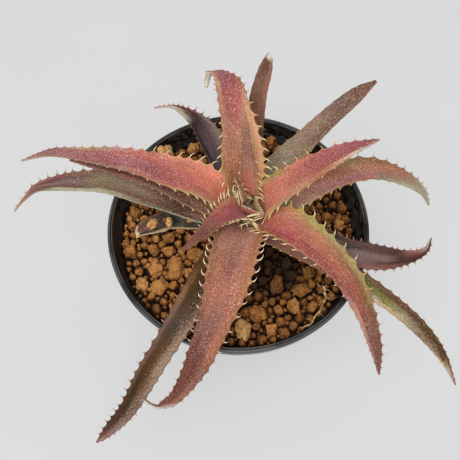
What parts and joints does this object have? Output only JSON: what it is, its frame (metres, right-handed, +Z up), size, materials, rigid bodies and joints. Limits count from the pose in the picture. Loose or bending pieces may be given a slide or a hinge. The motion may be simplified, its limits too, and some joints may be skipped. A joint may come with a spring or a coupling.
{
  "type": "potted orthophytum hybrid bromeliad",
  "caption": "Small rosette of arching, spiny-edged red, olive and brown leaves growing in clay granules in a round black nursery pot.",
  "frame": {"origin": "middle of the pot's underside, on the surface that the pot stands on", "axes": "+Z up through the pot's mouth; +Y away from the side that the picture was taken from; +X to that viewer's right, along the longest spread of the leaves"},
  "size_m": [0.1515, 0.1144, 0.1113],
  "materials": {
    "black_plastic": "satin",
    "clay_granules": "rough, unglazed",
    "clay_grain": "rough, unglazed",
    "stem_bark": "dry bark",
    "dead_leaf": "dry, papery",
    "dry_root": "dry straw",
    "heart_leaf": "satin with pale scurf",
    "young_leaf": "satin with pale scurf",
    "red_leaf": "satin with pale scurf",
    "tan_leaf": "satin with pale scurf",
    "brown_leaf": "satin with pale scurf",
    "olive_leaf": "satin with pale scurf",
    "dark_leaf": "satin with pale scurf",
    "purple_leaf": "satin with pale scurf"
  },
  "bodies": {
    "root": {"pot": "black_plastic", "soil": "clay_granules", "stem": "stem_bark", "heart_leaf_back": "heart_leaf", "heart_leaf_front": "heart_leaf", "young_leaf_back": "young_leaf", "young_leaf_front_left": "young_leaf", "red_leaf_back": "red_leaf", "red_leaf_right_back": "red_leaf", "red_leaf_left": "red_leaf", "red_leaf_right_front": "red_leaf", "red_leaf_front": "red_leaf", "tan_leaf_right": "tan_leaf", "brown_leaf_left": "brown_leaf", "olive_leaf_right_front": "olive_leaf", "olive_leaf_front_left": "olive_leaf", "brown_leaf_right_back": "brown_leaf", "dark_leaf_back_left": "dark_leaf", "olive_leaf_left": "olive_leaf", "purple_leaf_right": "purple_leaf", "brown_leaf_back": "brown_leaf", "dead_leaf": "dead_leaf", "dry_root": "dry_root", "grain_01": "clay_grain", "grain_02": "clay_grain", "grain_03": "clay_grain", "grain_04": "clay_grain", "grain_05": "clay_grain", "grain_06": "clay_grain", "grain_07": "clay_grain", "grain_08": "clay_grain", "grain_09": "clay_grain", "grain_10": "clay_grain", "grain_11": "clay_grain", "grain_12": "clay_grain", "grain_13": "clay_grain", "grain_14": "clay_grain", "grain_15": "clay_grain", "grain_16": "clay_grain", "grain_17": "clay_grain", "grain_18": "clay_grain"}
  },
  "joints": []
}
